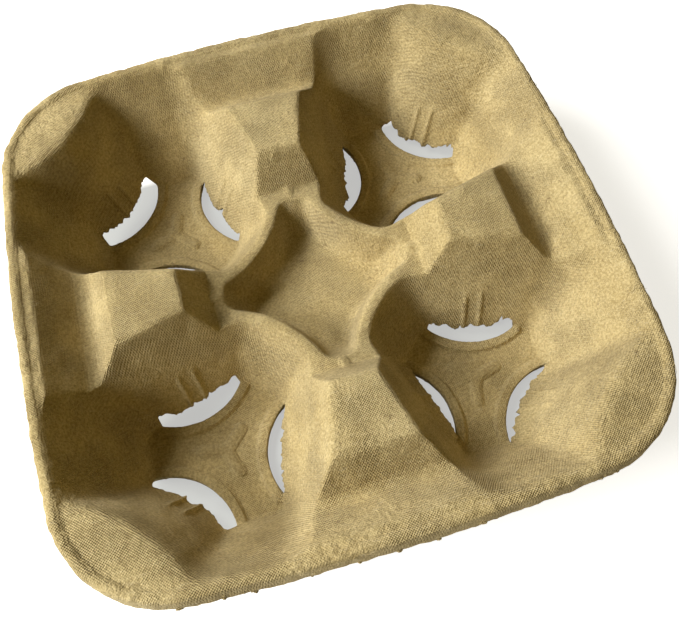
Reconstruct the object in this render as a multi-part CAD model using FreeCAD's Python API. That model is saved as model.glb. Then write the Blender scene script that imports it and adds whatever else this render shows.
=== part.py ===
import FreeCAD, Part
import math
import os

# Moulded pulp cup tray, millimetres, +Z up, origin under the middle of the floors.

# Skin and heights
skin = 2.0
floorTop = skin
lipHeight = 47.2
lipStep = 1.3
ledgeHeight = lipHeight - lipStep
postDrop = 2.4
postHeight = ledgeHeight - postDrop
ridgeHeight = lipHeight * 0.5953
panFloor = ridgeHeight * 0.4947
valleyDepth = 13.3
valleyHeight = postHeight - valleyDepth

# Outline of the lip, bowed sides with round corners
sideReach = 106.4
sideBow = sideReach * 8.29
cornerReach = sideReach * 1.2284
skirtDepth = 9.2
skirtFlare = 0.95
lipTopWidth = 3.0
lipFootWidth = 4.0
lipOuterRound = 1.6

# Cup wells, laid out from the middle of the tray
cupOffset = sideReach * 0.4652
armReach = cupOffset * 0.5556
wellLedge = 0.3
panelFoot = cupOffset * 0.4222
panelTop = cupOffset * 0.8
cornerPanelBow = 60.8
innerFoot = cupOffset * 0.5475
innerRidge = cupOffset * 0.864
wellRise = 0.3
panelCornerFootRound = 3.0
panelCornerTopRound = 7.0
wallCornerFootRound = 4.0
wallCornerTopRound = 24.0
innerCornerFootRound = 5.0
innerCornerTopRound = 12.0
floorRound = 2.0

# Posts between the wells and the trough behind each
postFrontFoot = cupOffset * 0.808
postFrontTop = cupOffset * 1.002
postBackTop = sideReach * 0.702
valleyReach = sideReach * 0.8083
ledgeEdge = sideReach * 0.935
valleyRound = 4.0
valleySpan = cupOffset * 1.6
postRound = 3.0

# Middle pan and ridge around it
ridgeWidth = 3.7
panSideRun = 4.7
panTopArc = innerRidge + ridgeWidth
panFootArc = panTopArc + panSideRun
ridgeEnd = 4.4
panEndRun = 9.5
panTopReach = postFrontFoot - ridgeEnd
panFootReach = panTopReach - panEndRun
panCornerRound = 4.0

# Slots at the foot of every panel
slotCentre = panelFoot * 1.957
slotRadius = slotCentre - panelFoot * 0.7177
slotHalfLength = panelFoot * 0.861
slotHeight = 1.6
slotTop = floorTop + slotHeight

# Raised bead beside each slot and raised mark on each floor
beadWidth = 3.6
beadHeight = 1.3
beadHalfLength = slotHalfLength + beadWidth / 2
markWidth = 3.4
markLength = panelFoot * 0.526
markHeight = 0.9

# Twin ribs up each panel
ribGap = 6.0
ribWidth = 1.2
ribHeight = 0.8
ribStart = slotTop + 0.5
ribRise = 17.0
ribEnd = ribStart + ribRise

# Nubs on the ridge in front of each post
nubReach = postFrontFoot
nubLength = 7.0
nubRadius = 2.6
nubRise = 1.4
nubRound = 1.2

# Slopes that follow from the sizes above
sideDrop = cupOffset ** 2 / (2 * sideBow)
wallTopInset = lipFootWidth + wellLedge
wallSlope = (sideReach - sideDrop - cupOffset - armReach - wallTopInset) / (ledgeHeight - floorTop)
panelSlope = (panelTop - panelFoot) / (postHeight - floorTop)
innerSlope = (innerRidge - innerFoot) / (ridgeHeight - floorTop)

panelAngles = (45.0, 165.0, 285.0)
armAngles = (105.0, 225.0, 345.0)
bowCentre = sideReach - sideBow


def onAxis(reach, angle, z=0.0):
    turn = math.radians(angle)
    return FreeCAD.Vector(reach * math.cos(turn), reach * math.sin(turn), z)


def miss(curve, x, y):
    # Signed distance from a line or a circle, with its direction
    if curve[0] == "line":
        return curve[1] * x + curve[2] * y - curve[3], curve[1], curve[2]
    dx = x - curve[1]
    dy = y - curve[2]
    far = math.hypot(dx, dy)
    return far - curve[3], dx / far, dy / far


def meet(first, second, guess):
    x, y = guess
    for step in range(40):
        f, fx, fy = miss(first, x, y)
        g, gx, gy = miss(second, x, y)
        size = fx * gy - fy * gx
        x -= (f * gy - g * fy) / size
        y -= (g * fx - f * gx) / size
    return x, y


def between(curve, start, end, z):
    # Edge along one curve from start to end
    a = FreeCAD.Vector(start[0], start[1], z)
    b = FreeCAD.Vector(end[0], end[1], z)
    if curve[0] == "line":
        return Part.makeLine(a, b)
    midX = (start[0] + end[0]) / 2 - curve[1]
    midY = (start[1] + end[1]) / 2 - curve[2]
    far = math.hypot(midX, midY)
    c = FreeCAD.Vector(curve[1] + midX / far * curve[3], curve[2] + midY / far * curve[3], z)
    return Part.Arc(a, c, b).toShape()


def closedWire(curves, guesses, z):
    count = len(curves)
    corners = []
    for index in range(count):
        corners.append(meet(curves[index - 1], curves[index], guesses[index]))
    edges = []
    for index in range(count):
        edges.append(between(curves[index], corners[index], corners[(index + 1) % count], z))
    return Part.Wire(edges)


def outline(inset, z):
    # Four bowed sides and four corner arcs, all tangent
    spare = sideBow - cornerReach
    k = (bowCentre ** 2 - spare ** 2) / (2 * (math.sqrt(2) * spare + bowCentre))
    cornerRadius = cornerReach - math.sqrt(2) * k
    lean = math.atan2(k, k - bowCentre)
    joints = []
    middles = []
    for quarter in range(4):
        base = 90.0 * quarter
        middle = onAxis(bowCentre, base)
        reach = sideBow - inset
        for turn in (-lean, 0.0, lean):
            spot = middle + onAxis(reach, base + math.degrees(turn))
            joints.append(FreeCAD.Vector(spot.x, spot.y, z))
        middles.append(onAxis(math.sqrt(2) * k + cornerRadius - inset, base + 45.0, z))
    edges = []
    for quarter in range(4):
        a, b, c = joints[3 * quarter:3 * quarter + 3]
        d = joints[(3 * quarter + 3) % 12]
        edges.append(Part.Arc(a, b, c).toShape())
        edges.append(Part.Arc(c, middles[quarter], d).toShape())
    return Part.Wire(edges)


def wellWire(z, growth):
    rise = z - floorTop
    wall = growth * math.sqrt(1 + wallSlope ** 2)
    panel = growth * math.sqrt(1 + panelSlope ** 2)
    inner = growth * math.sqrt(1 + innerSlope ** 2)
    side = sideBow - wallTopInset - wallSlope * (ledgeHeight - z) + wall
    push = panelFoot + panelSlope * rise
    corner = onAxis(push + cornerPanelBow, 45.0)
    curves = [
        ("circle", bowCentre, 0.0, side),
        ("circle", cupOffset + corner.x, cupOffset + corner.y, cornerPanelBow - panel),
        ("circle", 0.0, bowCentre, side),
    ]
    lines = []
    for angle in (165.0, 285.0):
        way = onAxis(1.0, angle)
        lines.append(("line", way.x, way.y, (way.x + way.y) * cupOffset + push + panel))
    curves.append(lines[0])
    curves.append(("circle", cupOffset, cupOffset, innerFoot + innerSlope * rise + inner))
    curves.append(lines[1])
    reach = side + bowCentre
    guesses = [
        (reach, cupOffset - 0.7 * panelFoot),
        (reach, cupOffset + 0.2 * panelFoot),
        (cupOffset + 0.2 * panelFoot, reach),
        (cupOffset - 0.7 * panelFoot, reach),
        (cupOffset - push, cupOffset - 0.4 * push),
        (cupOffset - 0.4 * push, cupOffset - push),
    ]
    return closedWire(curves, guesses, z)


def roundSlants(solid, low, high, pairs):
    # Rounds each slanting edge with a radius that grows with height
    shape = solid
    for x, y, footRound, topRound in pairs:
        best = None
        for edge in shape.Edges:
            ends = [vertex.Point for vertex in edge.Vertexes]
            if len(ends) != 2 or abs(ends[0].z - ends[1].z) < 0.9 * (high - low):
                continue
            lower = ends[0] if ends[0].z < ends[1].z else ends[1]
            gap = math.hypot(lower.x - x, lower.y - y)
            if best is None or gap < best[0]:
                best = (gap, edge, edge.firstVertex().Point.z < edge.lastVertex().Point.z)
        radii = (footRound, topRound) if best[2] else (topRound, footRound)
        shape = shape.makeFillet(radii[0], radii[1], [best[1]])
    return shape


def roundBottom(solid, radius):
    low = min(vertex.Point.z for vertex in solid.Vertexes) + 0.1
    edges = [edge for edge in solid.Edges if max(vertex.Point.z for vertex in edge.Vertexes) < low]
    return solid.makeFillet(radius, edges)


def well(growth):
    low = floorTop - growth
    high = ledgeHeight + wellRise
    bottom = wellWire(low, growth)
    solid = Part.makeLoft([bottom, wellWire(high, growth)], True, True)
    corners = [vertex.Point for vertex in bottom.OrderedVertexes]
    radii = [
        (wallCornerFootRound, wallCornerTopRound),
        (panelCornerFootRound, panelCornerTopRound),
        (panelCornerFootRound, panelCornerTopRound),
        (wallCornerFootRound, wallCornerTopRound),
        (innerCornerFootRound, innerCornerTopRound),
        (innerCornerFootRound, innerCornerTopRound),
    ]
    pairs = []
    for corner, (footRound, topRound) in zip(corners, radii):
        pairs.append((corner.x, corner.y, footRound + growth, topRound + growth))
    return roundBottom(roundSlants(solid, low, high, pairs), floorRound)


def pan(growth):
    # Four arcs about the cup axes and four blunt ends toward the posts
    wires = []
    rise = (panTopReach - panFootReach) / (ridgeHeight - panFloor)
    for z in (panFloor - growth, ridgeHeight + 0.5):
        part = (z - panFloor) / (ridgeHeight - panFloor)
        reach = panFootReach + (panTopReach - panFootReach) * part + growth * math.sqrt(1 + rise ** 2)
        arc = panFootArc + (panTopArc - panFootArc) * part - growth * 1.05
        curves = []
        guesses = []
        for quarter in range(4):
            way = onAxis(1.0, 90.0 * quarter)
            corner = onAxis(cupOffset * math.sqrt(2), 90.0 * quarter + 45.0)
            curves.append(("line", way.x, way.y, reach))
            curves.append(("circle", corner.x, corner.y, arc))
            before = onAxis(reach, 90.0 * quarter) - onAxis(4.0, 90.0 * quarter + 90.0)
            after = onAxis(reach, 90.0 * quarter) + onAxis(4.0, 90.0 * quarter + 90.0)
            guesses.append((before.x, before.y))
            guesses.append((after.x, after.y))
        wires.append(closedWire(curves, guesses, z))
    solid = Part.makeLoft(wires, True, True)
    slants = []
    for edge in solid.Edges:
        ends = [vertex.Point for vertex in edge.Vertexes]
        if abs(ends[0].z - ends[1].z) > 5.0:
            slants.append(edge)
    solid = solid.makeFillet(panCornerRound + growth, slants)
    return roundBottom(solid, panCornerRound)


def square(half, z):
    corners = [(half, half), (-half, half), (-half, -half), (half, -half), (half, half)]
    return Part.makePolygon([FreeCAD.Vector(x, y, z) for x, y in corners])


def middleOpening(growth):
    # Clears the middle above the ridge and slopes the post fronts
    lean = (postFrontTop - postFrontFoot) / (postHeight - ridgeHeight)
    shift = growth * (math.sqrt(1 + lean ** 2) - lean)
    low = ridgeHeight - growth
    high = ledgeHeight + 1.0
    foot = postFrontFoot + shift
    top = foot + lean * (high - low)
    return Part.makeLoft([square(foot, low), square(top, high)], True, True)


def shiftedChain(chain, growth):
    # Moves every segment of an open profile sideways by the same amount
    lines = []
    for start, end in zip(chain, chain[1:]):
        size = math.hypot(end[0] - start[0], end[1] - start[1])
        nx = (end[1] - start[1]) / size
        ny = -(end[0] - start[0]) / size
        lines.append(("line", nx, ny, nx * start[0] + ny * start[1] + growth))
    return [meet(lines[index], lines[index + 1], chain[index + 1]) for index in range(len(lines) - 1)]


def valley(growth):
    # Clears the top of a post and the trough between it and the outer wall
    chain = [
        (postBackTop - 30.0, postHeight),
        (postBackTop, postHeight),
        (valleyReach, valleyHeight),
        (ledgeEdge, ledgeHeight),
        (ledgeEdge + 30.0, ledgeHeight),
    ]
    low = shiftedChain(chain, growth)
    top = ledgeHeight + 1.0
    start = postFrontFoot - 8.0
    leanWall = (ledgeEdge - valleyReach) / (ledgeHeight - valleyHeight)
    last = (low[-1][0] + leanWall * (top - low[-1][1]), top)
    points = [(start, top), (start, low[0][1])] + low + [last, (start, top)]
    profile = [FreeCAD.Vector(x, -valleySpan / 2, z) for x, z in points]
    trough = Part.Face(Part.makePolygon(profile)).extrude(FreeCAD.Vector(0, valleySpan, 0))
    keel = [edge for edge in trough.Edges if edge.BoundBox.ZMax < low[1][1] + 0.1 and edge.Length > 50.0]
    return trough.makeFillet(valleyRound + growth, keel)


def quarters(shape):
    # One copy in each quarter of the tray
    copies = [shape]
    for turn in (90, 180, 270):
        copy = shape.copy()
        copy.rotate(FreeCAD.Vector(0, 0, 0), FreeCAD.Vector(0, 0, 1), turn)
        copies.append(copy)
    return copies


def underForm(base, growth):
    # Solid below one face of the skin
    cutters = quarters(well(growth)) + quarters(valley(growth))
    cutters += [pan(growth), middleOpening(growth)]
    shape = base
    for cutter in cutters:
        shape = shape.cut(cutter)
    return shape


def blockBase():
    skirtFoot = lipHeight - skirtDepth
    rim = Part.makeLoft([outline(-skirtFlare, skirtFoot), outline(0.0, lipHeight)], True, True)
    rim = rim.makeFillet(lipOuterRound, [edge for edge in rim.Edges if edge.BoundBox.ZMin > lipHeight - 0.01])
    core = Part.Face(outline(wallTopInset, 0.0)).extrude(FreeCAD.Vector(0, 0, skirtFoot))
    recess = Part.makeLoft(
        [outline(lipFootWidth, ledgeHeight), outline(lipTopWidth, lipHeight)], True, True)
    lid = Part.Face(outline(lipTopWidth, lipHeight)).extrude(FreeCAD.Vector(0, 0, 1.0))
    return rim.fuse(core).cut(recess).cut(lid)


def innerBase():
    return Part.Face(outline(skin - skirtFlare / 2, -1.0)).extrude(
        FreeCAD.Vector(0, 0, ledgeHeight - skin + 1.0))


def placed(shape, angle):
    # Turns a piece drawn along +X about the cup axis
    copy = shape.copy()
    copy.rotate(FreeCAD.Vector(0, 0, 0), FreeCAD.Vector(0, 0, 1), angle)
    copy.translate(FreeCAD.Vector(cupOffset, cupOffset, 0))
    return copy


def band(inner, outer, halfLength, low, high):
    # Part of a ring that bulges toward the cup axis
    centre = FreeCAD.Vector(slotCentre, 0, low)
    ring = Part.makeCylinder(outer, high - low, centre)
    if inner > 0.0:
        ring = ring.cut(Part.makeCylinder(inner, high - low, centre))
    limit = Part.makeBox(slotCentre, 2 * halfLength, high - low, FreeCAD.Vector(0, -halfLength, low))
    return ring.common(limit)


def slotCutter():
    return band(0.0, slotRadius, slotHalfLength, -1.0, slotTop)


def bead():
    return band(slotRadius, slotRadius + beadWidth, beadHalfLength, floorTop - skin / 2, floorTop + beadHeight)


def markLeg():
    low = floorTop - skin / 2
    high = floorTop + markHeight
    leg = Part.makeBox(markLength, markWidth, high - low, FreeCAD.Vector(0, -markWidth / 2, low))
    upright = [edge for edge in leg.Edges if edge.BoundBox.XMin > markLength - 0.01 and edge.BoundBox.ZLength > 1.0]
    return leg.makeFillet(markWidth * 0.45, upright)


def rib(side):
    def face(z):
        return panelFoot + panelSlope * (z - floorTop)
    y = side * ribGap / 2 - ribWidth / 2
    points = [
        (face(ribStart) - ribHeight, ribStart),
        (face(ribStart) + skin / 2, ribStart),
        (face(ribEnd) + skin / 2, ribEnd),
        (face(ribEnd), ribEnd),
        (face(ribEnd - 4.0) - ribHeight, ribEnd - 4.0),
        (face(ribStart) - ribHeight, ribStart),
    ]
    profile = [FreeCAD.Vector(x, y, z) for x, z in points]
    return Part.Face(Part.makePolygon(profile)).extrude(FreeCAD.Vector(0, ribWidth, 0))


def nub():
    start = FreeCAD.Vector(nubReach - nubLength / 2, 0, ridgeHeight + nubRise - nubRadius)
    body = Part.makeCylinder(nubRadius, nubLength, start, FreeCAD.Vector(1, 0, 0))
    return body.makeFillet(nubRound, [edge for edge in body.Edges if edge.BoundBox.XLength < 0.01])


def floorDetail():
    # Beads, raised mark and ribs of one well
    room = well(0.0)
    pieces = [placed(bead(), angle).common(room) for angle in panelAngles]
    pieces += [placed(markLeg(), angle) for angle in armAngles]
    pieces += [placed(rib(side), angle) for angle in panelAngles for side in (-1, 1)]
    return pieces[0].multiFuse(pieces[1:])


def roundPostTops(shape):
    edges = []
    for edge in shape.Edges:
        first, last = edge.ParameterRange
        spot = edge.valueAt((first + last) / 2)
        far = max(abs(spot.x), abs(spot.y))
        near = min(abs(spot.x), abs(spot.y))
        if abs(spot.z - postHeight) < 0.05 and far < postBackTop + 1.0 and near < postFrontTop / 2:
            edges.append(edge)
    return shape.makeFillet(postRound, edges)


def trayShape():
    upper = roundPostTops(underForm(blockBase(), 0.0))
    upper = upper.multiFuse(quarters(floorDetail()) + quarters(nub()))
    lower = underForm(innerBase(), skin)
    shape = upper.cut(lower)
    slots = []
    for angle in panelAngles:
        slots += quarters(placed(slotCutter(), angle))
    return shape.cut(slots[0].multiFuse(slots[1:]))


os.makedirs("parts", exist_ok=True)
tray = trayShape()
print("valid", tray.isValid(), "solids", len(tray.Solids), "faces", len(tray.Faces), "volume", round(tray.Volume))
print("box", tray.BoundBox)
tray.Solids[0].exportStep("parts/pulp_tray.step")
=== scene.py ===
import bpy
import math
import random
from mathutils import Matrix, Vector, noise


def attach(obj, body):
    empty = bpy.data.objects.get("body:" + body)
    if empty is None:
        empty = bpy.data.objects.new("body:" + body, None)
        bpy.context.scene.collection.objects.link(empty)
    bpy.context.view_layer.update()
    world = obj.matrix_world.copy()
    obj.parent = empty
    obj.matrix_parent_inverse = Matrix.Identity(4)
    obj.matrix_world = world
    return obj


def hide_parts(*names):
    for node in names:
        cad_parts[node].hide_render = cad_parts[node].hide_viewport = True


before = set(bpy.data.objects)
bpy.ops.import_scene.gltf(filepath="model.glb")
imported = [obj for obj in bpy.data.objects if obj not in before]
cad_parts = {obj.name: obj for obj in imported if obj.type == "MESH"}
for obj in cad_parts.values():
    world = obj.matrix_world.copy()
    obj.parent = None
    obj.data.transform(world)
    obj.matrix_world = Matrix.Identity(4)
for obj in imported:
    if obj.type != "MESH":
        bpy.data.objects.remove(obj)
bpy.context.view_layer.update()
print("frame loaded")


def deselectAll():
    if bpy.context.object and bpy.context.object.mode != "OBJECT":
        bpy.ops.object.mode_set(mode="OBJECT")
    bpy.ops.object.select_all(action="DESELECT")


def pick(piece):
    deselectAll()
    piece.select_set(True)
    bpy.context.view_layer.objects.active = piece


def applyModifier(piece, kind, name, **settings):
    pick(piece)
    modifier = piece.modifiers.new(name, kind)
    for key, value in settings.items():
        setattr(modifier, key, value)
    bpy.ops.object.modifier_apply(modifier=modifier.name)


# Camera, at the photograph's viewing angle

cameraPlace = {
    "turn": -13.557,
    "rise": 64.535,
    "roll": -3.3037,
    "away": 0.30594,
    "lookAt": (0.00512, -0.00879, 0.0001),
    "lens": 39.712,
    "shift": (0.0045, 0.0179),
}


def setCamera():
    turn = math.radians(cameraPlace["turn"])
    rise = math.radians(cameraPlace["rise"])
    roll = math.radians(cameraPlace["roll"])
    back = Vector((math.sin(turn) * math.cos(rise), -math.cos(turn) * math.cos(rise), math.sin(rise)))
    side = (-back).cross(Vector((0, 0, 1))).normalized()
    up = side.cross(-back)
    right = side * math.cos(roll) + up * math.sin(roll)
    top = up * math.cos(roll) - side * math.sin(roll)
    spot = Vector(cameraPlace["lookAt"]) + back * cameraPlace["away"]
    bpy.ops.object.camera_add()
    camera = bpy.context.object
    camera.name = "camera"
    camera.matrix_world = Matrix((
        (right.x, top.x, back.x, spot.x),
        (right.y, top.y, back.y, spot.y),
        (right.z, top.z, back.z, spot.z),
        (0, 0, 0, 1),
    ))
    camera.data.sensor_width = 36
    camera.data.lens = cameraPlace["lens"]
    camera.data.shift_x, camera.data.shift_y = cameraPlace["shift"]
    camera.data.clip_start = 0.01
    camera.data.clip_end = 20
    bpy.context.scene.camera = camera


deselectAll()
setCamera()
print("camera set")

# Two windows on the left, weak light from all round

lighting = {
    "windows": (
        {"name": "backWindow", "turn": 145.0, "rise": 42.5, "power": 13.4},
        {"name": "frontWindow", "turn": 190.0, "rise": 33.5, "power": 15.4},
    ),
    "windowSize": 0.42,
    "windowAway": 1.3,
    "roomColour": (0.105, 0.078, 0.016, 1),
}


def addWindow(window):
    turn = math.radians(window["turn"])
    rise = math.radians(window["rise"])
    way = Vector((math.cos(turn) * math.cos(rise), math.sin(turn) * math.cos(rise), math.sin(rise)))
    deselectAll()
    bpy.ops.object.light_add(type="AREA", location=way * lighting["windowAway"])
    lamp = bpy.context.object
    lamp.name = window["name"]
    lamp.data.shape = "SQUARE"
    lamp.data.size = lighting["windowSize"]
    lamp.data.energy = window["power"]
    lamp.rotation_euler = way.to_track_quat("Z", "Y").to_euler()


def setLights():
    for window in lighting["windows"]:
        addWindow(window)
    world = bpy.context.scene.world or bpy.data.worlds.new("world")
    bpy.context.scene.world = world
    world.use_nodes = True
    tree = world.node_tree
    tree.nodes.clear()
    room = tree.nodes.new("ShaderNodeBackground")
    room.inputs["Color"].default_value = lighting["roomColour"]
    room.inputs["Strength"].default_value = 1.0
    plain = tree.nodes.new("ShaderNodeBackground")
    plain.inputs["Color"].default_value = (1, 1, 1, 1)
    path = tree.nodes.new("ShaderNodeLightPath")
    seen = tree.nodes.new("ShaderNodeMath")
    seen.operation = "MAXIMUM"
    glass = tree.nodes.new("ShaderNodeMath")
    glass.operation = "MAXIMUM"
    mix = tree.nodes.new("ShaderNodeMixShader")
    out = tree.nodes.new("ShaderNodeOutputWorld")
    tree.links.new(path.outputs["Is Camera Ray"], seen.inputs[0])
    tree.links.new(path.outputs["Is Glossy Ray"], seen.inputs[1])
    tree.links.new(seen.outputs[0], glass.inputs[0])
    tree.links.new(path.outputs["Is Transmission Ray"], glass.inputs[1])
    tree.links.new(glass.outputs[0], mix.inputs["Fac"])
    tree.links.new(room.outputs[0], mix.inputs[1])
    tree.links.new(plain.outputs[0], mix.inputs[2])
    tree.links.new(mix.outputs[0], out.inputs["Surface"])


setLights()
bpy.context.scene.view_settings.view_transform = "Standard"
print("lights set")

# Pale floor that keeps the shadow; under the tray a grey patch of painted shade, held at a set grey by
# its own glow, shows through the slots

floorPlace = {
    "size": 6.0,
    "height": -0.0002,
    "outerColour": (0.9, 0.9, 0.89, 1),
    "shadedPatchColour": (0.15, 0.16, 0.145, 1),
    "outerGlow": 0.74,
    "shadedPatchGlow": 0.50,
    "innerReach": 0.080,
    "outerReach": 0.085,
}


def addNode(tree, kind, **values):
    node = tree.nodes.new(kind)
    for key, value in values.items():
        if key in node.inputs:
            node.inputs[key].default_value = value
        else:
            setattr(node, key, value)
    return node


def calculate(tree, operation, first, second=0.0):
    node = tree.nodes.new("ShaderNodeMath")
    node.operation = operation
    for socket, value in zip(node.inputs, (first, second)):
        if isinstance(value, float):
            socket.default_value = value
        else:
            tree.links.new(value, socket)
    return node.outputs[0]


def blendColour(tree, way, amount, first, second):
    node = tree.nodes.new("ShaderNodeMix")
    node.data_type = "RGBA"
    node.blend_type = way
    if isinstance(amount, float):
        node.inputs["Factor"].default_value = amount
    else:
        tree.links.new(amount, node.inputs["Factor"])
    for socket, value in ((node.inputs[6], first), (node.inputs[7], second)):
        if isinstance(value, tuple):
            socket.default_value = value
        else:
            tree.links.new(value, socket)
    return node.outputs[2]


def floorFinish():
    material = bpy.data.materials.new("paleFloor")
    material.use_nodes = True
    tree = material.node_tree
    tree.nodes.clear()
    place = tree.nodes.new("ShaderNodeTexCoord").outputs["Object"]
    parts = tree.nodes.new("ShaderNodeSeparateXYZ")
    tree.links.new(place, parts.inputs[0])
    reach = calculate(tree, "MAXIMUM", calculate(tree, "ABSOLUTE", parts.outputs["X"]),
                      calculate(tree, "ABSOLUTE", parts.outputs["Y"]))
    ring = tree.nodes.new("ShaderNodeMapRange")
    ring.inputs["From Min"].default_value = floorPlace["innerReach"]
    ring.inputs["From Max"].default_value = floorPlace["outerReach"]
    tree.links.new(reach, ring.inputs["Value"])
    outside = ring.outputs["Result"]
    # Inside the reach the floor is darker: painted shade under the tray
    paint = tree.nodes.new("ShaderNodeBsdfDiffuse")
    colour = blendColour(tree, "MIX", outside, floorPlace["shadedPatchColour"], floorPlace["outerColour"])
    tree.links.new(colour, paint.inputs["Color"])
    path = tree.nodes.new("ShaderNodeLightPath")
    seen = calculate(tree, "MAXIMUM", path.outputs["Is Camera Ray"], path.outputs["Is Glossy Ray"])
    seen = calculate(tree, "MAXIMUM", seen, path.outputs["Is Transmission Ray"])
    # Outside, the glow makes the backdrop white; inside, it holds the painted shade at a fixed grey
    spread = floorPlace["outerGlow"] - floorPlace["shadedPatchGlow"]
    level = calculate(tree, "ADD", calculate(tree, "MULTIPLY", outside, spread), floorPlace["shadedPatchGlow"])
    glow = tree.nodes.new("ShaderNodeEmission")
    glow.inputs["Color"].default_value = (1, 1, 0.985, 1)
    tree.links.new(calculate(tree, "MULTIPLY", seen, level), glow.inputs["Strength"])
    add = tree.nodes.new("ShaderNodeAddShader")
    out = tree.nodes.new("ShaderNodeOutputMaterial")
    tree.links.new(paint.outputs[0], add.inputs[0])
    tree.links.new(glow.outputs[0], add.inputs[1])
    tree.links.new(add.outputs[0], out.inputs["Surface"])
    return material


def makeFloor():
    deselectAll()
    bpy.ops.mesh.primitive_plane_add(size=floorPlace["size"], location=(0, 0, floorPlace["height"]))
    floor = bpy.context.object
    floor.name = "floor"
    bpy.ops.object.transform_apply(location=True, rotation=True, scale=True)
    floor.data.materials.append(floorFinish())


makeFloor()
print("floor made")

# Moulded pulp finish, for the tray skin and the crumbs

pulpLook = {
    "pale": (0.600, 0.485, 0.246, 1),
    "middle": (0.568, 0.452, 0.221, 1),
    "deep": (0.535, 0.418, 0.194, 1),
    "speck": (0.20, 0.135, 0.06, 1),
    "fibre": (0.66, 0.56, 0.34, 1),
    "roughness": 0.93,
    "wireSpacing": 0.00066,
    "wireDepth": 0.00019,
    "grainDepth": 0.00055,
    "feltDepth": 0.00070,
}


def colourSteps(tree, source, steps):
    ramp = tree.nodes.new("ShaderNodeValToRGB")
    band = ramp.color_ramp
    while len(band.elements) < len(steps):
        band.elements.new(0.5)
    for element, (place, colour) in zip(band.elements, steps):
        element.position = place
        element.color = colour
    tree.links.new(source, ramp.inputs["Fac"])
    return ramp.outputs["Color"]


def pulpFinish():
    material = bpy.data.materials.new("mouldedPulp")
    material.use_nodes = True
    tree = material.node_tree
    shader = tree.nodes["Principled BSDF"]
    shader.inputs["Roughness"].default_value = pulpLook["roughness"]
    shader.inputs["Specular IOR Level"].default_value = 0.12
    shader.inputs["Sheen Weight"].default_value = 0.08
    shader.inputs["Sheen Roughness"].default_value = 0.6
    place = tree.nodes.new("ShaderNodeTexCoord").outputs["Object"]

    def pattern(kind, turn=(0, 0, 0), stretch=(1, 1, 1), **values):
        mapping = addNode(tree, "ShaderNodeMapping", Rotation=turn, Scale=stretch)
        tree.links.new(place, mapping.inputs["Vector"])
        node = addNode(tree, kind, **values)
        tree.links.new(mapping.outputs["Vector"], node.inputs["Vector"])
        return node.outputs["Fac"]

    # Cloudy colour of the stock, then grain, long fibres and specks
    clouds = pattern("ShaderNodeTexNoise", Scale=34.0, Detail=6.0, Roughness=0.6)
    colour = colourSteps(tree, clouds, (
        (0.34, pulpLook["deep"]), (0.50, pulpLook["middle"]), (0.66, pulpLook["pale"])))
    grain = pattern("ShaderNodeTexNoise", Scale=1150.0, Detail=3.0, Roughness=0.62)
    shade = colourSteps(tree, grain, ((0.38, (0.70, 0.67, 0.60, 1)), (0.62, (1.06, 1.06, 1.06, 1))))
    colour = blendColour(tree, "MULTIPLY", 1.0, colour, shade)
    for turn, stretch in (((0, 0, 0.5), (1, 7, 3)), ((0.3, 0, 2.1), (1, 8, 4))):
        strands = pattern("ShaderNodeTexNoise", turn, stretch, Scale=240.0, Detail=2.0, Roughness=0.5)
        streak = colourSteps(tree, strands, ((0.62, (0, 0, 0, 1)), (0.72, (0.35, 0.35, 0.35, 1))))
        colour = blendColour(tree, "MIX", streak, colour, pulpLook["fibre"])
    specks = pattern("ShaderNodeTexNoise", Scale=520.0, Detail=2.0, Roughness=0.4)
    spots = colourSteps(tree, specks, ((0.70, (0, 0, 0, 1)), (0.76, (0.55, 0.55, 0.55, 1))))
    colour = blendColour(tree, "MIX", spots, colour, pulpLook["speck"])

    # Print of the wire screen, strong in patches, over felted fibre
    wires = []
    quarterTurn = (0, 0, math.radians(45))
    for direction in ("X", "Y", "Z"):
        wires.append(pattern(
            "ShaderNodeTexWave", quarterTurn, bands_direction=direction,
            Scale=2 * math.pi / (20 * pulpLook["wireSpacing"]),
            Distortion=2.6, Detail=1.5, **{"Detail Scale": 0.4}))
    weave = calculate(tree, "ADD", calculate(tree, "ADD", wires[0], wires[1]), wires[2])
    patches = pattern("ShaderNodeTexNoise", Scale=55.0, Detail=2.0, Roughness=0.5)
    patches = colourSteps(tree, patches, ((0.36, (0.25, 0.25, 0.25, 1)), (0.60, (1, 1, 1, 1))))
    weave = calculate(tree, "MULTIPLY", weave, patches)
    pits = colourSteps(tree, calculate(tree, "MULTIPLY", weave, 0.33), (
        (0.10, (1.04, 1.04, 1.04, 1)), (0.75, (0.84, 0.82, 0.78, 1))))
    colour = blendColour(tree, "MULTIPLY", 1.0, colour, pits)
    tree.links.new(colour, shader.inputs["Base Color"])
    felt = pattern("ShaderNodeTexNoise", Scale=300.0, Detail=4.0, Roughness=0.55)
    height = calculate(tree, "MULTIPLY", weave, pulpLook["wireDepth"])
    height = calculate(tree, "ADD", height, calculate(tree, "MULTIPLY", grain, pulpLook["grainDepth"]))
    height = calculate(tree, "ADD", height, calculate(tree, "MULTIPLY", felt, pulpLook["feltDepth"]))
    bump = addNode(tree, "ShaderNodeBump", Strength=1.0, Distance=1.0)
    tree.links.new(height, bump.inputs["Height"])
    tree.links.new(bump.outputs["Normal"], shader.inputs["Normal"])
    return material


pulpMaterial = pulpFinish()
print("pulp finish made")

# Tray skin

trayShape = {
    "node": "pulp_tray",
    "grain": 0.0006,
    "smoothRounds": 2,
    "softRounds": 24,
    "softFrom": 0.021,
    "softUpper": 0.35,
    "softCorner": 0.9,
    "softLip": 0.3,
    "cornerRounds": 160,
    "dentHeight": 0.0007,
    "dentSize": 0.020,
    "rippleHeight": 0.0006,
    "rippleSize": 0.007,
    "lumpHeight": 0.00030,
    "lumpSize": 0.0032,
    "lipLumpHeight": 0.0007,
    "lipLumpSize": 0.0038,
    "underShare": 0.15,
    "triangles": 194000,
}

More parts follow.
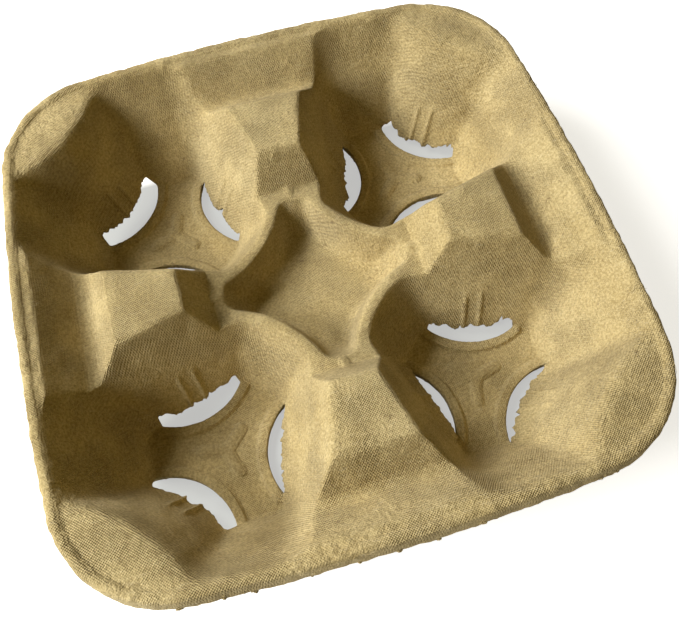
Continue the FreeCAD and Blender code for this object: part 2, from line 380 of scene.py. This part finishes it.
slotShape = {
    "cupOffset": 0.0495,
    "angles": (45.0, 165.0, 285.0),
    "panelFoot": 0.0209,
    "panelSlope": 0.4506,
    "arcCentre": 0.0409,
    "arcRadius": 0.0259,
    "halfLength": 0.0178,
    "edgeHeight": 0.0036,
    "tearHeight": 0.0075,
    "tear": (0.0019, 0.0014, 0.0008),
    "endLift": 0.0016,
    "lifts": {3: 0.0026, 6: 0.0020, 8: 0.0018},
    "flaps": (
        (4, -0.008, 0.0075, -0.0026),
        (1, 0.008, 0.0050, -0.0015),
        (10, -0.012, 0.0030, -0.0012),
    ),
    "cracks": (
        (0, -0.0150, 0.0008, 0.0020),
        (4, 0.0010, 0.0009, 0.0022),
        (5, 0.0060, 0.0008, 0.0018),
        (7, 0.0060, 0.0008, 0.0024),
        (7, -0.0090, 0.0008, 0.0020),
        (9, 0.0070, 0.0009, 0.0026),
        (9, -0.0100, 0.0008, 0.0024),
        (11, 0.0120, 0.0008, 0.0024),
        (11, -0.0040, 0.0007, 0.0016),
    ),
    "closings": {7: 0.0012, 9: 0.0026, 10: 0.0024},
}


def copyOfNode(name, label):
    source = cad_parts[name]
    piece = source.copy()
    piece.data = source.data.copy()
    piece.name = label
    piece.parent = None
    bpy.context.scene.collection.objects.link(piece)
    pick(piece)
    bpy.ops.object.mode_set(mode="EDIT")
    bpy.ops.mesh.select_all(action="SELECT")
    bpy.ops.mesh.remove_doubles(threshold=0.00001)
    bpy.ops.mesh.normals_make_consistent(inside=False)
    bpy.ops.object.mode_set(mode="OBJECT")
    return piece


def weighPoints(piece, name, weight):
    # One weight in tenths per point, for a modifier that acts more in some places
    group = piece.vertex_groups.new(name=name)
    tenths = {}
    for point in piece.data.vertices:
        tenths.setdefault(round(10 * weight(point)), []).append(point.index)
    for amount, points in tenths.items():
        if amount > 0:
            group.add(points, amount / 10, "REPLACE")


def onLip(spot):
    return max(abs(spot.x), abs(spot.y)) > 0.0995 or math.hypot(spot.x, spot.y) > 0.124


def softWeight(point):
    spot = point.co
    rise = min(1.0, max(0.0, (spot.z - trayShape["softFrom"]) / 0.005))
    if onLip(spot):
        return rise * trayShape["softLip"]
    inner = min(abs(spot.x), abs(spot.y))
    corner = min(1.0, max(0.0, (abs(spot.x) + abs(spot.y) - 0.135) / 0.015)) if inner > 0.055 else 0.0
    return rise * (trayShape["softUpper"] + corner * (trayShape["softCorner"] - trayShape["softUpper"]))


def cornerWeight(point):
    # The crescents over the corner panels are the softest part of the tray
    spot = point.co
    if onLip(spot) or spot.z < 0.022:
        return 0.0
    diagonal = (abs(spot.x) + abs(spot.y)) / math.sqrt(2)
    rise = min(1.0, (spot.z - 0.022) / 0.008)
    spread = min(1.0, max(0.0, (diagonal - 0.096) / 0.006))
    inward = min(1.0, max(0.0, (0.1225 - math.hypot(spot.x, spot.y)) / 0.003))
    return rise * spread * inward


def upperWeight(point):
    return min(1.0, max(0.0, (point.co.z - trayShape["softFrom"]) / 0.004))


def underWeight(point):
    return 1.0 if point.normal.z < -0.2 else 0.0


def coarseWeight(point):
    # The marks and beads on the floors keep their shape and all their points
    spot = point.co
    reach = math.hypot(abs(spot.x) - slotShape["cupOffset"], abs(spot.y) - slotShape["cupOffset"])
    return 0.0 if spot.z < 0.0046 and point.normal.z > -0.2 and reach < 0.029 else 1.0


def lipWeight(point):
    return 1.0 if onLip(point.co) and point.co.z > 0.030 else 0.0


def slotPlace(spot):
    # Nearest slot to a point, as distance out from the cup axis and distance along the slot
    x, y = abs(spot.x), abs(spot.y)
    quarter = (0 if spot.y >= 0 else 3) if spot.x >= 0 else (1 if spot.y >= 0 else 2)
    x -= slotShape["cupOffset"]
    y -= slotShape["cupOffset"]
    best = None
    for index, angle in enumerate(slotShape["angles"]):
        turn = math.radians(angle)
        out = x * math.cos(turn) + y * math.sin(turn)
        along = -x * math.sin(turn) + y * math.cos(turn)
        if best is None or out > best[0]:
            best = (out, along, turn, quarter * 3 + index)
    return best


def tearSlotEdges(piece):
    # Ragged torn edge at the foot of every panel
    high = slotShape["edgeHeight"] + slotShape["tearHeight"]
    moved = 0
    for point in piece.data.vertices:
        spot = point.co
        if spot.z > high:
            continue
        out, along, turn, number = slotPlace(spot)
        if abs(along) > slotShape["halfLength"]:
            continue
        panel = slotShape["panelFoot"] + slotShape["panelSlope"] * spot.z
        arc = slotShape["arcCentre"] - math.sqrt(slotShape["arcRadius"] ** 2 - along ** 2)
        if not panel - 0.0035 < out < panel + 0.005 or out < arc + 0.0006:
            continue
        fade = min(1.0, max(0.0, 1 - (spot.z - slotShape["edgeHeight"]) / slotShape["tearHeight"]))
        fade *= min(1.0, (slotShape["halfLength"] - abs(along)) / 0.001)
        step = along * 1000
        wide, middle, fine = slotShape["tear"]
        shift = slotShape["endLift"] * min(1.0, max(0.0, (abs(along) - 0.009) / 0.006))
        shift += slotShape["lifts"].get(number, 0.0)
        shift += wide * noise.noise(Vector((step * 0.16, number * 7.3, 0.5)))
        shift += middle * noise.noise(Vector((step * 0.45, number * 3.1, 4.5)))
        shift += fine * noise.noise(Vector((step * 1.3, number * 5.7, 9.5)))
        for slot, middlePlace, halfWidth, lift in slotShape["flaps"] + slotShape["cracks"]:
            if slot == number:
                shift += lift * max(0.0, 1 - ((along - middlePlace) / halfWidth) ** 2)
        shift *= fade
        push = slotShape["panelSlope"] * shift - slotShape["closings"].get(number, 0.0) * fade
        x = push * math.cos(turn)
        y = push * math.sin(turn)
        point.co.x += x if spot.x >= 0 else -x
        point.co.y += y if spot.y >= 0 else -y
        point.co.z = max(0.0002, spot.z + shift)
        moved += 1
    print("torn edge points", moved)


def roughen(piece, size, height, label, group=""):
    texture = bpy.data.textures.new(label, "CLOUDS")
    texture.noise_scale = size
    texture.noise_depth = 2
    applyModifier(piece, "DISPLACE", label, texture=texture, texture_coords="LOCAL",
                  strength=height, mid_level=0.5, vertex_group=group)


def makeTray():
    tray = copyOfNode(trayShape["node"], "pulpSkin")
    applyModifier(tray, "REMESH", "skin", mode="VOXEL", voxel_size=trayShape["grain"], adaptivity=0.0)
    weighPoints(tray, "upper", upperWeight)
    applyModifier(tray, "SMOOTH", "even", factor=0.5,
                  iterations=trayShape["smoothRounds"], vertex_group="upper")
    weighPoints(tray, "soft", softWeight)
    applyModifier(tray, "SMOOTH", "soften", factor=0.5,
                  iterations=trayShape["softRounds"], vertex_group="soft")
    weighPoints(tray, "corner", cornerWeight)
    applyModifier(tray, "SMOOTH", "cornerSoft", factor=0.5,
                  iterations=trayShape["cornerRounds"], vertex_group="corner")
    tearSlotEdges(tray)
    weighPoints(tray, "lip", lipWeight)
    roughen(tray, trayShape["dentSize"], trayShape["dentHeight"], "dents")
    weighPoints(tray, "coarse", coarseWeight)
    roughen(tray, trayShape["rippleSize"], trayShape["rippleHeight"], "ripples", "coarse")
    roughen(tray, trayShape["lumpSize"], trayShape["lumpHeight"], "lumps", "coarse")
    roughen(tray, trayShape["lipLumpSize"], trayShape["lipLumpHeight"], "lipLumps", "lip")
    print("tray faces", len(tray.data.polygons))

    # The hidden underside gets fewer triangles than the top
    weighPoints(tray, "under", underWeight)
    applyModifier(tray, "DECIMATE", "lightenUnder", ratio=0.5 + 0.5 * trayShape["underShare"],
                  vertex_group="under", vertex_group_factor=1.0)
    count = sum(len(face.vertices) - 2 for face in tray.data.polygons)
    print("tray triangles before", count)
    weighPoints(tray, "floors", coarseWeight)
    if count > trayShape["triangles"]:
        applyModifier(tray, "DECIMATE", "lighten", ratio=trayShape["triangles"] / count,
                      vertex_group="floors", vertex_group_factor=1.0)
    tray.vertex_groups.clear()
    for point in tray.data.vertices:
        point.co.z = max(point.co.z, 0.0)
    pick(tray)
    bpy.ops.object.shade_smooth()
    tray.data.materials.clear()
    tray.data.materials.append(pulpMaterial)
    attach(tray, "root")
    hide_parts(trayShape["node"])
    return tray


tray = makeTray()
print("tray made", len(tray.data.polygons))

# Loose fibres lying on the skin

fibreShape = {
    "count": 240,
    "length": (0.0014, 0.0045),
    "thickness": 0.00007,
    "bends": (0.12, 0.4, 0.75, -0.5),
    "colour": (0.62, 0.52, 0.32, 1),
    "onEdges": 110,
    "seed": 7,
}


def strandFinish():
    material = bpy.data.materials.new("looseStrand")
    material.use_nodes = True
    tree = material.node_tree
    shader = tree.nodes["Principled BSDF"]
    place = tree.nodes.new("ShaderNodeTexCoord").outputs["Object"]
    tone = addNode(tree, "ShaderNodeTexNoise", Scale=60.0, Detail=2.0)
    tree.links.new(place, tone.inputs["Vector"])
    colour = colourSteps(tree, tone.outputs["Fac"], (
        (0.35, pulpLook["middle"]), (0.65, fibreShape["colour"])))
    tree.links.new(colour, shader.inputs["Base Color"])
    shader.inputs["Roughness"].default_value = 0.85
    shader.inputs["Specular IOR Level"].default_value = 0.15
    return material


def makeStrand(bend, name):
    # One bent strand of unit length, later copied and scaled
    deselectAll()
    bpy.ops.curve.primitive_bezier_curve_add(radius=1)
    strand = bpy.context.object
    strand.name = name
    first, last = strand.data.splines[0].bezier_points
    for point in (first, last):
        point.handle_left_type = "FREE"
        point.handle_right_type = "FREE"
    first.co, first.handle_left, first.handle_right = (-0.5, 0, 0), (-0.7, 0, 0), (-0.2, bend, 0.03)
    last.co, last.handle_left, last.handle_right = (0.5, 0, 0), (0.2, -0.6 * bend, 0.05), (0.7, 0, 0)
    strand.data.resolution_u = 7
    strand.data.bevel_depth = fibreShape["thickness"] / 0.005
    strand.data.bevel_resolution = 0
    bpy.ops.object.convert(target="MESH")
    return bpy.context.object


def layCopy(source, spot, normal, turn, size):
    piece = source.copy()
    piece.data = source.data.copy()
    bpy.context.scene.collection.objects.link(piece)
    facing = normal.to_track_quat("Z", "Y").to_matrix().to_4x4()
    piece.matrix_world = (
        Matrix.Translation(spot) @ facing @ Matrix.Rotation(turn, 4, "Z") @ Matrix.Diagonal((*size, 1)))
    return piece


def joinPieces(pieces, name, material):
    deselectAll()
    for piece in pieces:
        piece.select_set(True)
    bpy.context.view_layer.objects.active = pieces[0]
    bpy.ops.object.join()
    joined = bpy.context.object
    joined.name = name
    bpy.ops.object.transform_apply(location=True, rotation=True, scale=True)
    bpy.ops.object.shade_smooth()
    joined.data.materials.clear()
    joined.data.materials.append(material)
    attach(joined, "root")
    return joined


def layFibres(skin):
    chance = random.Random(fibreShape["seed"])
    strands = [makeStrand(bend, "strand") for bend in fibreShape["bends"]]
    laid = []
    tries = 0
    while len(laid) < fibreShape["count"] and tries < 4000:
        tries += 1
        x = chance.uniform(-0.104, 0.104)
        y = chance.uniform(-0.104, 0.104)
        if len(laid) < fibreShape["onEdges"]:
            turn = chance.uniform(0, 2 * math.pi)
            reach = chance.uniform(0.099, 0.1062) / max(abs(math.cos(turn)), abs(math.sin(turn)))
            x, y = reach * math.cos(turn), reach * math.sin(turn)
        hit, spot, normal, face = skin.ray_cast(Vector((x, y, 0.1)), Vector((0, 0, -1)))
        if not hit or normal.z < 0.15:
            continue
        length = chance.uniform(*fibreShape["length"])
        size = (length, length, 0.005)
        laid.append(layCopy(chance.choice(strands), spot + normal * 0.00008, normal,
                            chance.uniform(0, 2 * math.pi), size))
    for strand in strands:
        bpy.data.objects.remove(strand)
    return joinPieces(laid, "looseFibres", strandFinish())


layFibres(tray)
print("fibres laid")

# Crumbs of pulp stuck under the near edge of the lip

crumbShape = {
    "count": 16,
    "size": (0.0003, 0.0009),
    "seed": 21,
}


def makeCrumb():
    deselectAll()
    bpy.ops.mesh.primitive_ico_sphere_add(subdivisions=3, radius=1)
    crumb = bpy.context.object
    for point in crumb.data.vertices:
        bump = 1 + 0.45 * noise.noise(point.co * 1.7) + 0.25 * noise.noise(point.co * 4.1)
        point.co *= bump
    return crumb


def hangCrumbs(skin):
    chance = random.Random(crumbShape["seed"])
    crumb = makeCrumb()
    hung = []
    tries = 0
    while len(hung) < crumbShape["count"] and tries < 400:
        tries += 1
        x = chance.uniform(-0.075, 0.070)
        z = chance.uniform(0.0385, 0.0425)
        hit, spot, normal, face = skin.ray_cast(Vector((x, -0.13, z)), Vector((0, 1, 0)))
        if not hit:
            continue
        size = chance.uniform(*crumbShape["size"])
        stretch = (size * chance.uniform(0.9, 1.7), size, size * chance.uniform(0.6, 0.9))
        hung.append(layCopy(crumb, spot, normal, chance.uniform(0, 2 * math.pi), stretch))
    bpy.data.objects.remove(crumb)
    return joinPieces(hung, "edgeCrumbs", pulpMaterial)


hangCrumbs(tray)
print("crumbs hung")
